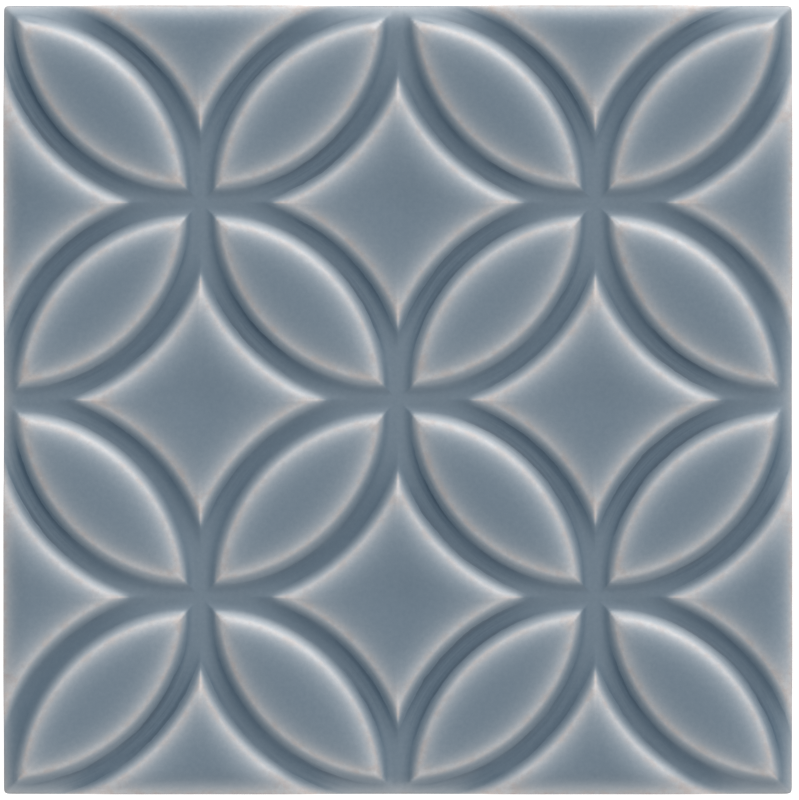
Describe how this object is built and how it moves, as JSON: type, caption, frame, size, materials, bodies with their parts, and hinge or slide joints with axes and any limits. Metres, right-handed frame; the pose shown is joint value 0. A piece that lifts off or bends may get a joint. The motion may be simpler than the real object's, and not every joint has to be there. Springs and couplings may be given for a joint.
{
  "type": "relief glazed tile",
  "caption": "Square glazed wall tile whose face is pressed with a grid of overlapping circles, cut as rounded grooves between raised petals and four-pointed stars.",
  "frame": {"origin": "centre of the back face, which is the plane the tile rests on", "axes": "+Z out of the glazed face, +X and +Y parallel to the sides; +Y is the top of the picture"},
  "size_m": [0.148, 0.148, 0.01],
  "materials": {
    "glaze": "gloss, translucent grey-blue glaze that breaks to pale warm grey on the crests and arrises and pools darker in the grooves",
    "biscuit": "matt fired body, bare on the back and the lower sides"
  },
  "bodies": {
    "root": {"relief_tile": "glaze"}
  },
  "joints": []
}
